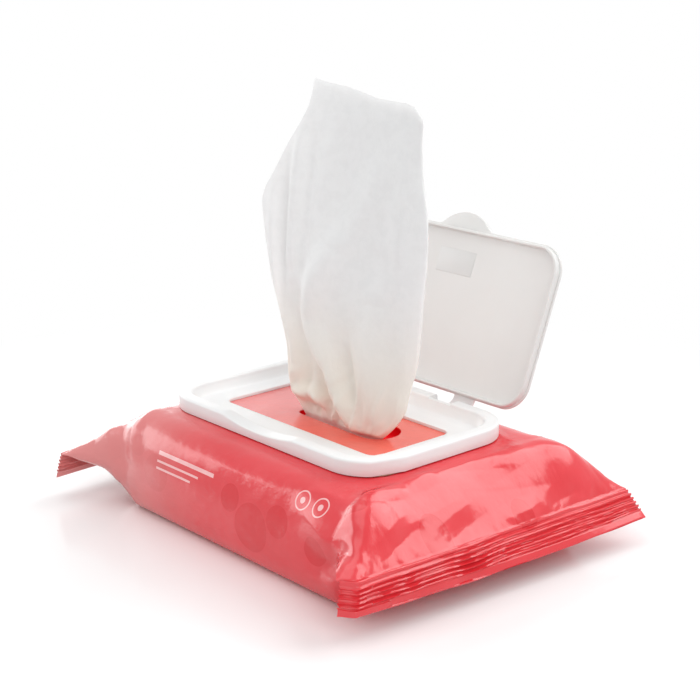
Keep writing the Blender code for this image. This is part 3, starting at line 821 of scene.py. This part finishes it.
wipe = new_piece("wet_wipe", add_grid, x_subdivisions=wipe_columns, y_subdivisions=wipe_rows, size=1.0)
flat = points_of(wipe) + 0.5
around, rise = flat[:, 0], np.clip(flat[:, 1], 0.0, 1.0)
height = -foot_drop + (wipe_top + foot_drop) * rise
above = np.maximum(height, 0.0)
share = above / wipe_top
across = np.sin(math.pi * around)
left, right = smooth_through(above, 1), smooth_through(above, 2)
opened = ease(above / opened_height)
swell = np.sin(math.pi * np.clip(share, 0.0, 1.0) ** 0.7) ** 0.8
end_depth = foot_half_depth + (top_half_depth - foot_half_depth) * share
depth = end_depth + (body_half_depth - end_depth) * swell
left += seen_slant * depth * (foot_taper + (1.0 - foot_taper) * opened)
taper = foot_taper + (1.0 - foot_taper) * across
wipe_x = left + (right - left) * across
wipe_y = -depth * np.cos(math.pi * around) * (taper + (1.0 - taper) * opened)
front = around < 0.5
wipe_y += lean_foot + lean_top * share
lowered = np.interp(across, top_line[:, 0], top_line[:, 1]) + np.where(front, 0.0, rear_drop)
wipe_z = height - lowered * share ** 2
print("wipe stands", round(float(wipe_z.max()), 1), "mm above the film")

# %% [markdown]
# Wet nonwoven is limp but holds folds where layers cling. The long folds run up from the slot and fade out,
# so they are waves across the sheet whose crests lean apart with height. A few single ridges, as lines
# between two places on the front layer given by x and height, make the diagonal fold and the pocket above the
# slot.

# %% Folds of the wipe
wipe_folds = [
    ((6, 66), (-6, 38), 3.2, 7), ((-6, 38), (8, 16), 3.6, 6.5), ((8, 17), (18, 1), 3.6, 6),
    ((-14, 52), (-9, 24), -2.6, 7), ((-22, 40), (-14, 18), 2.6, 5), ((-14, 20), (-20, 7), 2.4, 4),
    ((-19, 8), (-4, 10), 3, 4), ((-4, 11), (4, 5), 2.4, 3.6), ((-16, 4), (0, 5), -2.2, 3.6),
    ((-3, 26), (2, 9), -2.6, 4), ((12, 34), (15, 9), -2.4, 5), ((3, 8), (13, 0), -3, 3.2),
    ((26, 50), (24, 4), 3, 9), ((-28, 88), (-21, 14), 2, 3.8), ((-22, 98), (-19, 22), -1.8, 3.4),
    ((-16, 108), (-14, 42), 1.8, 3.6), ((-9, 104), (-8, 56), -1.2, 5), ((34, 104), (38, 30), 1.8, 6),
    ((26, 96), (10, 62), 1.3, 8), ((4, 110), (8, 74), -1.2, 9),
]
fold_gain, rear_folds = 1.25, 0.4
wave_gain, gather_gain, small_gain = 1.6, 1.2, 0.22
fold = np.zeros(len(wipe_x))
face_on = np.stack([wipe_x, wipe_z], axis=1)
for a, b, lift_mm, width in wipe_folds:
    a, b = np.array(a), np.array(b)
    run = b - a
    place = np.clip((face_on - a) @ run / (run @ run), 0.0, 1.0)
    away = np.linalg.norm(face_on - (a + place[:, None] * run), axis=1) / width
    crest = np.exp(-1.6 * away ** 2) * (0.35 + 0.65 * np.sin(math.pi * np.clip(place, 0.04, 0.96)))
    fold += lift_mm * crest
layer_apart = np.where(front, 0.0, 40.0)
long_waves = cloud(np.stack([across * 62.0, share * 26.0, layer_apart], axis=1), 15.0, 4.0)
foot_gathers = cloud(np.stack([across * 46.0, share * 30.0, layer_apart], axis=1), 4.2, 8.0)
small = cloud(np.stack([wipe_x, wipe_y, wipe_z], axis=1), 7.0, 6.0)
near_foot = ease(above / 3.0) * (1.0 - ease((above - 8.0) / 22.0))
edge_calm = ease(across / 0.12) * ease(np.abs(around - 0.5) / 0.06)
fold = fold_gain * fold * ease(above / 3.0) * np.where(front, 1.0, rear_folds)
fold += wave_gain * long_waves * ease(above / 14.0)
fold += gather_gain * (1.0 - 2.2 * np.abs(foot_gathers)) * near_foot
fold += small_gain * small * ease(above / 6.0)
out_y = np.where(front, -1.0, 1.0)
wipe_y += out_y * fold * (0.35 + 0.65 * edge_calm) * (1.0 - 0.6 * ease((share - 0.8) / 0.2))
wipe_x += 0.5 * fold * (1.0 - edge_calm) * ease(above / 10.0)
pack_top = pack_height / MM
move_points(wipe, np.stack([wipe_x, wipe_y, wipe_z + pack_top], axis=1) * MM)
modify(wipe, "sheet thickness", "SOLIDIFY", thickness=0.35 * MM, offset=0.0)
apply_all(wipe)
shade(wipe, 60)
wipe_area = sum(face.area for face in wipe.data.polygons) / 2
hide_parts("pulled_wipe")
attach(wipe, "pack")
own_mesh(wipe)
print("wet_wipe:", triangles(wipe), "triangles,", round(wipe_area * 1e4, 1), "square cm")

# %% [markdown]
# ## The wipes inside
# The stack can be seen only through the slot. It is made of folded wipes, each a thin slab with round edges
# that is a little out of line with the next.

# %% Stack of wipes
stack_low, stack_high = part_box("wipe_stack")
layer_count = 20
layer_height = (stack_high.z - stack_low.z) / layer_count
stack = new_piece("folded_wipes", bpy.ops.mesh.primitive_cube_add, size=1.0)
move_points(stack, points_of(stack) * np.array([108.0 * MM, 86.0 * MM, 0.94 * layer_height]))
edit_all(stack, bpy.ops.mesh.subdivide, number_cuts=10)
modify(stack, "folded edges", "BEVEL", width=0.45 * layer_height, segments=3, limit_method="ANGLE")
modify(
    stack, "pile", "ARRAY", count=layer_count, use_relative_offset=False, use_constant_offset=True,
    constant_offset_displace=(0.0, 0.0, layer_height),
)
apply_all(stack)
layers = points_of(stack) + np.array([0.0, 0.0, stack_low.z + layer_height / 2])
layer_of = np.floor((layers[:, 2] - stack_low.z) / layer_height)
layers[:, 0] += 0.8 * MM * np.sin(layer_of * 2.4)
layers[:, 1] += 0.8 * MM * np.sin(layer_of * 1.7 + 1.0)
move_points(stack, layers)
shade(stack, 40)
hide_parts("wipe_stack")
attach(stack, "pack")
print("folded_wipes:", triangles(stack), "triangles")

# %% [markdown]
# ## Finishes
# Shapes that are drawn more than once are node groups that give out a mask only. The finish itself, its base
# colour, roughness and gloss, stays in each material.

# %% Helpers for nodes
def fill(tree, node, values):
    """Give a node's inputs what they take: a socket is linked, and a value is set."""
    for key, value in values.items():
        if isinstance(value, bpy.types.NodeSocket):
            tree.links.new(value, node.inputs[key])
        else:
            node.inputs[key].default_value = value


def add_node(tree, kind, values, **settings):
    node = tree.nodes.new(kind)
    for name, value in settings.items():
        setattr(node, name, value)
    fill(tree, node, values)
    return node


def math_node(tree, operation, first, second):
    return add_node(tree, "ShaderNodeMath", {0: first, 1: second}, operation=operation).outputs[0]


def vector_math(tree, operation, *values):
    return add_node(tree, "ShaderNodeVectorMath", dict(enumerate(values)), operation=operation).outputs


def split(tree, vector):
    return add_node(tree, "ShaderNodeSeparateXYZ", {0: vector}).outputs


def mix_colour(tree, share, first, second):
    return add_node(tree, "ShaderNodeMix", {0: share, 6: first, 7: second}, data_type="RGBA").outputs[2]


def noise_node(tree, vector, scale, detail=3.0, roughness=0.5):
    values = {"Vector": vector, "Scale": scale, "Detail": detail, "Roughness": roughness}
    return add_node(tree, "ShaderNodeTexNoise", values).outputs["Fac"]


def ramp(tree, value, low, high):
    """0 below low, 1 above high, smooth between."""
    values = {"Value": value, "From Min": low, "From Max": high}
    return add_node(tree, "ShaderNodeMapRange", values, interpolation_type="SMOOTHSTEP").outputs["Result"]


def bump(tree, height, distance, strength):
    values = {"Height": height, "Distance": distance, "Strength": strength}
    return add_node(tree, "ShaderNodeBump", values).outputs["Normal"]


def rgb(*seen):
    """A colour as it is seen on screen, turned into the linear values that a shader takes."""
    return tuple(((c + 0.055) / 1.055) ** 2.4 if c > 0.04045 else c / 12.92 for c in seen) + (1.0,)


def dimmed(colour, share):
    return tuple(share * c for c in colour[:3]) + (1.0,)


def new_finish(name, roughness, gloss):
    """A material with one Principled shader, and its tree, shader and coordinates."""
    made = bpy.data.materials.new(name)
    made.use_nodes = True
    shader = made.node_tree.nodes["Principled BSDF"]
    fill(made.node_tree, shader, {"Roughness": roughness, "Specular IOR Level": gloss})
    return made, made.node_tree, shader, made.node_tree.nodes.new("ShaderNodeTexCoord").outputs


def dress(piece, finish):
    piece.data.materials.clear()
    piece.data.materials.append(finish)


print("node helpers are ready")

# %% [markdown]
# The print on the film is flat artwork, so it is drawn on the web's own map, in units of 10 cm from the
# middle of the top panel. It is made of plain shapes: discs of a darker red, rings, dots and rounded bars.
# Two node groups draw them, a disc and a bar, and each gives out a mask.

# %% Shapes of the print
print_edge = 0.97


def shape_group(name):
    """A group with its output node, and the distance from the shape's middle, counted in its half sizes."""
    group = bpy.data.node_groups.new(name, "ShaderNodeTree")
    for socket in ("Map", "Middle", "Half Size"):
        group.interface.new_socket(socket, in_out="INPUT", socket_type="NodeSocketVector")
    group.interface.new_socket("Mask", in_out="OUTPUT", socket_type="NodeSocketFloat")
    given = group.nodes.new("NodeGroupInput").outputs
    offset = vector_math(group, "SUBTRACT", given["Map"], given["Middle"])[0]
    scaled = vector_math(group, "DIVIDE", offset, given["Half Size"])[0]
    return group, group.nodes.new("NodeGroupOutput"), scaled


disc_group, result, scaled = shape_group("Printed disc")
length = vector_math(disc_group, "LENGTH", scaled)["Value"]
fill(disc_group, result, {"Mask": ramp(disc_group, length, 1.0, print_edge)})

bar_group, result, scaled = shape_group("Printed bar")
sides = split(bar_group, vector_math(bar_group, "ABSOLUTE", scaled)[0])
widest = math_node(bar_group, "MAXIMUM", sides["X"], sides["Y"])
fill(bar_group, result, {"Mask": ramp(bar_group, widest, 1.0, print_edge)})
print("print shapes:", disc_group.name, "and", bar_group.name)

# %% [markdown]
# Film: a coral red, glossy and a little uneven, with fine wrinkles in its normal that are too small for the
# mesh.
# Towards the left end its colour is painted paler, a dusty pink that is a painted reflection of the bright
# studio.
# The window panel is painted paler, which stands in for the light that comes through it from the white wipes
# below.

# %% Coral film
coral, tree, shader, place = new_finish("Coral film", 0.2, 0.5)
deep_coral, light_coral = rgb(0.86, 0.175, 0.21), rgb(0.88, 0.215, 0.25)
disc_red, disc_strength = rgb(0.82, 0.03, 0.10), 0.6
print_pink, print_strength = rgb(0.98, 0.80, 0.80), 0.8
reflection_pink, reflection_strength, reflection_range = rgb(0.86, 0.57, 0.56), 0.82, (-0.05, -0.72)
window_light_left, window_light_right, window_range = rgb(0.90, 0.48, 0.47), rgb(0.94, 0.42, 0.36), (-0.03, 0.012)
ring_radius, ring_hollow, dot_radius = 0.034, 0.029, 0.011


def printed(group, middle, half_size):
    values = {"Map": place["UV"], "Middle": (*middle, 0.0), "Half Size": (*half_size, 1.0)}
    return add_node(tree, "ShaderNodeGroup", values, node_tree=group).outputs["Mask"]


def either(masks):
    total = masks[0]
    for mask in masks[1:]:
        total = math_node(tree, "MAXIMUM", total, mask)
    return total


dark_discs = either([
    printed(disc_group, middle, (radius, radius))
    for middle, radius in (
        ((0.18, 0.66), 0.085), ((0.31, 0.60), 0.055), ((0.06, 0.59), 0.048), ((-0.36, 0.62), 0.07),
        ((-0.48, 0.55), 0.04), ((0.50, 0.64), 0.05), ((0.76, 0.24), 0.06), ((0.78, -0.14), 0.045),
        ((0.30, -0.62), 0.08), ((-0.20, -0.64), 0.06), ((-0.68, 0.2), 0.07), ((0.62, 0.47), 0.035),
    )
])
pale_parts = [
    printed(bar_group, middle, half_size)
    for middle, half_size in (
        ((-0.20, 0.545), (0.16, 0.007)), ((-0.24, 0.575), (0.12, 0.004)), ((-0.26, 0.60), (0.10, 0.004)),
    )
]
for middle in ((0.40, 0.50), (0.49, 0.50)):
    whole, hollow, dot = (
        printed(disc_group, middle, (radius, radius)) for radius in (ring_radius, ring_hollow, dot_radius)
    )
    pale_parts.append(math_node(tree, "ADD", math_node(tree, "SUBTRACT", whole, hollow), dot))
pale_print = math_node(tree, "MULTIPLY", either(pale_parts), print_strength)
uneven = ramp(tree, noise_node(tree, place["Object"], 55.0), 0.35, 0.7)
coral_field = mix_colour(tree, uneven, deep_coral, light_coral)
with_discs = mix_colour(tree, math_node(tree, "MULTIPLY", dark_discs, disc_strength), coral_field, disc_red)
# Painted reflection: the colour goes over to a pale dusty pink towards the left end, in place of the studio's
# reflection there.
fade = math_node(tree, "MULTIPLY", ramp(tree, split(tree, place["UV"])["X"], *reflection_range), reflection_strength)
with_painted_reflection = mix_colour(tree, fade, with_discs, reflection_pink)
with_print = mix_colour(tree, pale_print, with_painted_reflection, print_pink)
# Painted light: the window panel is paler, for light from the white wipes below that comes through the film,
# and pinker towards its left side.
window_side = ramp(tree, split(tree, place["Object"])["X"], *window_range)
window_painted_light = mix_colour(tree, window_side, window_light_left, window_light_right)
window_mask = printed(bar_group, (0.0, 0.0), (0.47, 0.26))
wrinkles = noise_node(tree, place["UV"], 13.0, 4.0, 0.55)
fill(tree, shader, {
    "Coat Weight": 0.25,
    "Coat Roughness": 0.08,
    "Base Color": mix_colour(tree, window_mask, with_print, window_painted_light),
    "Normal": bump(tree, wrinkles, 0.0009, 0.4),
})
dress(film, coral)
print("dressed", film.name)

# %% [markdown]
# Plastic: soft white polypropylene. It lets a little light in, which shows as a small subsurface share, and
# its moulded faces are not quite even. The ring of glue under it is a yellowish hot melt.

# %% White plastic and hot melt
def moulded_white(name, colour, roughness):
    made, tree, shader, place = new_finish(name, roughness, 0.45)
    uneven = noise_node(tree, place["Object"], 60.0, 2.0)
    fill(tree, shader, {
        "Base Color": mix_colour(tree, uneven, colour, dimmed(colour, 0.95)),
        "Normal": bump(tree, uneven, 0.0004, 0.3),
        "Subsurface Weight": 0.25,
        "Subsurface Radius": (1.0, 0.9, 0.85),
        "Subsurface Scale": 0.0007,
    })
    return made


frame_white = moulded_white("White plastic", rgb(0.935, 0.937, 0.937), 0.36)
# The lid is the same moulding as the frame; its darker, warmer copy of the white is painted shade.
shaded_lid_white = moulded_white("Shaded lid plastic", rgb(0.88, 0.877, 0.87), 0.4)
dress(closure, frame_white)
dress(lid, shaded_lid_white)
dress(straps, frame_white)
glue = bpy.data.objects["glue_ring"]
glue_finish, tree, shader, place = new_finish("Hot melt", 0.4, 0.5)
cloudy = noise_node(tree, place["Object"], 300.0)
hot_melt = mix_colour(tree, cloudy, rgb(0.93, 0.90, 0.80), rgb(0.85, 0.80, 0.66))
fill(tree, shader, {"Base Color": hot_melt})
dress(glue, glue_finish)
print("dressed", closure.name, lid.name, straps.name, glue.name)

# %% [markdown]
# Wet nonwoven: matt white with a cloudy web of fibres. Near the slot the colour is painted warmer, which is
# painted bounce light from the film, and the wipes inside are painted red, which stands in for the light that
# reaches them through the film.

# %% Wet cloth
def cloth_finish(name, far_colour, painted_light_colour, painted_light_full, painted_light_gone):
    made, tree, shader, place = new_finish(name, 0.75, 0.25)
    cloudy = noise_node(tree, place["Object"], 240.0, 5.0, 0.65)
    stretched = {"Vector": place["Object"], "Scale": (1.0, 1.0, 0.35)}
    fibres = noise_node(tree, add_node(tree, "ShaderNodeMapping", stretched).outputs["Vector"], 1500.0, 2.0)
    far = mix_colour(tree, ramp(tree, cloudy, 0.4, 0.62), far_colour, dimmed(far_colour, 0.975))
    up = ramp(tree, split(tree, place["Object"])["Z"], painted_light_full, painted_light_gone)
    web = math_node(tree, "ADD", cloudy, math_node(tree, "MULTIPLY", fibres, 0.4))
    fill(tree, shader, {
        "Base Color": mix_colour(tree, up, painted_light_colour, far),
        "Normal": bump(tree, web, 0.0005, 0.35),
        "Subsurface Weight": 0.3,
        "Subsurface Radius": (1.0, 0.95, 0.9),
        "Subsurface Scale": 0.003,
    })
    return made, tree, shader


# The wipe's warmer cream near the slot is painted bounce light from the film.
wipe_cloth, tree, shader = cloth_finish(
    "Wet cloth", rgb(0.94, 0.94, 0.94), rgb(0.965, 0.925, 0.87), 0.036, 0.095
)
dress(wipe, wipe_cloth)
# The wipes inside are white; their red colour is painted light, for the light that reaches them through the
# red film.
red_lit_stack_cloth, tree, shader = cloth_finish(
    "Wipes inside, painted red light", rgb(0.95, 0.05, 0.12), rgb(0.95, 0.45, 0.40), 0.0, 0.02
)
# A faint red glow on the stack, though it is no lamp: painted light.
fill(tree, shader, {"Emission Color": rgb(0.9, 0.05, 0.1), "Emission Strength": 0.2})
dress(stack, red_lit_stack_cloth)
print("dressed", wipe.name, stack.name)

# %% [markdown]
# ## The studio
# The photograph is taken in a white sweep with large soft lamps. The floor near the pack is a real surface
# that takes the pack's shadow, and further out it goes over to plain white for the camera.

# %% Floor and lamps
floor = new_piece("studio_floor", bpy.ops.mesh.primitive_plane_add, size=16.0)
floor_finish, tree, shader, place = new_finish("White sweep", 0.16, 0.25)


def seen_rays(tree):
    rays = tree.nodes.new("ShaderNodeLightPath").outputs
    return math_node(tree, "MAXIMUM", rays["Is Camera Ray"], rays["Is Glossy Ray"])


far_out = ramp(tree, vector_math(tree, "LENGTH", place["Object"])["Value"], 0.10, 0.28)
white_share = math_node(tree, "MULTIPLY", far_out, seen_rays(tree))
white = tree.nodes.new("ShaderNodeEmission").outputs[0]
swept = add_node(tree, "ShaderNodeMixShader", {0: white_share, 1: shader.outputs[0], 2: white})
fill(tree, shader, {"Base Color": (0.93, 0.93, 0.93, 1.0)})
fill(tree, tree.nodes["Material Output"], {"Surface": swept.outputs[0]})
dress(floor, floor_finish)


def softbox(side, place, aim, width, height, watts):
    name = side + "_softbox"
    lamp = bpy.data.lights.new(name, "AREA")
    lamp.shape = "RECTANGLE"
    lamp.size = width
    lamp.size_y = height
    lamp.energy = watts
    stand = bpy.data.objects.new(name, lamp)
    stand.location = place
    stand.rotation_euler = (Vector(aim) - Vector(place)).to_track_quat("-Z", "Y").to_euler()
    bpy.context.scene.collection.objects.link(stand)


softboxes = (
    ("back", (0.32, 0.82, 0.95), (0.03, 0.0, 0.03), 1.0, 0.8, 7.6),
    ("right", (1.15, -0.35, 0.75), (0.0, 0.0, 0.06), 0.6, 0.6, 4.2),
    ("left", (-1.22, -0.44, 0.42), (0.0, 0.0, 0.04), 1.0, 0.6, 5.0),
    ("top", (-0.3, -0.1, 1.3), (0.0, 0.0, 0.03), 1.0, 1.0, 4.0),
    ("front", (0.7, -1.25, 0.95), (0.0, 0.0, 0.08), 0.8, 0.8, 2.2),
    ("side", (-1.3, 0.4, 0.22), (-0.06, 0.0, 0.03), 0.9, 0.42, 3.2),
)
for setup in softboxes:
    softbox(*setup)
print("floor and", len(softboxes), "lamps")

# %% [markdown]
# The air is plain white where it is seen, and dimmer as a light. The camera stands where the photograph was
# taken from.

# %% Air and camera
air_light = 0.52
camera_place = (0.39377, -0.34305, 0.21499)
azimuth, elevation = math.radians(48.34), math.radians(16.32)
world = bpy.data.worlds.new("Studio air")
world.use_nodes = True
air = world.node_tree
brightness = math_node(air, "ADD", math_node(air, "MULTIPLY", seen_rays(air), 1.0 - air_light), air_light)
fill(air, air.nodes["Background"], {"Color": (1.0, 1.0, 1.0, 1.0), "Strength": brightness})
scene = bpy.context.scene
scene.world = world
scene.view_settings.view_transform = "Standard"

lens = bpy.data.cameras.new("photo_camera")
lens.lens = 80.16
lens.sensor_width = 36.0
camera = bpy.data.objects.new("photo_camera", lens)
towards_camera = Vector((
    math.sin(azimuth) * math.cos(elevation),
    -math.cos(azimuth) * math.cos(elevation),
    math.sin(elevation),
))
camera.location = camera_place
camera.rotation_euler = (-towards_camera).to_track_quat("-Z", "Y").to_euler()
scene.collection.objects.link(camera)
scene.camera = camera
print("camera at", [round(v, 3) for v in camera.location])
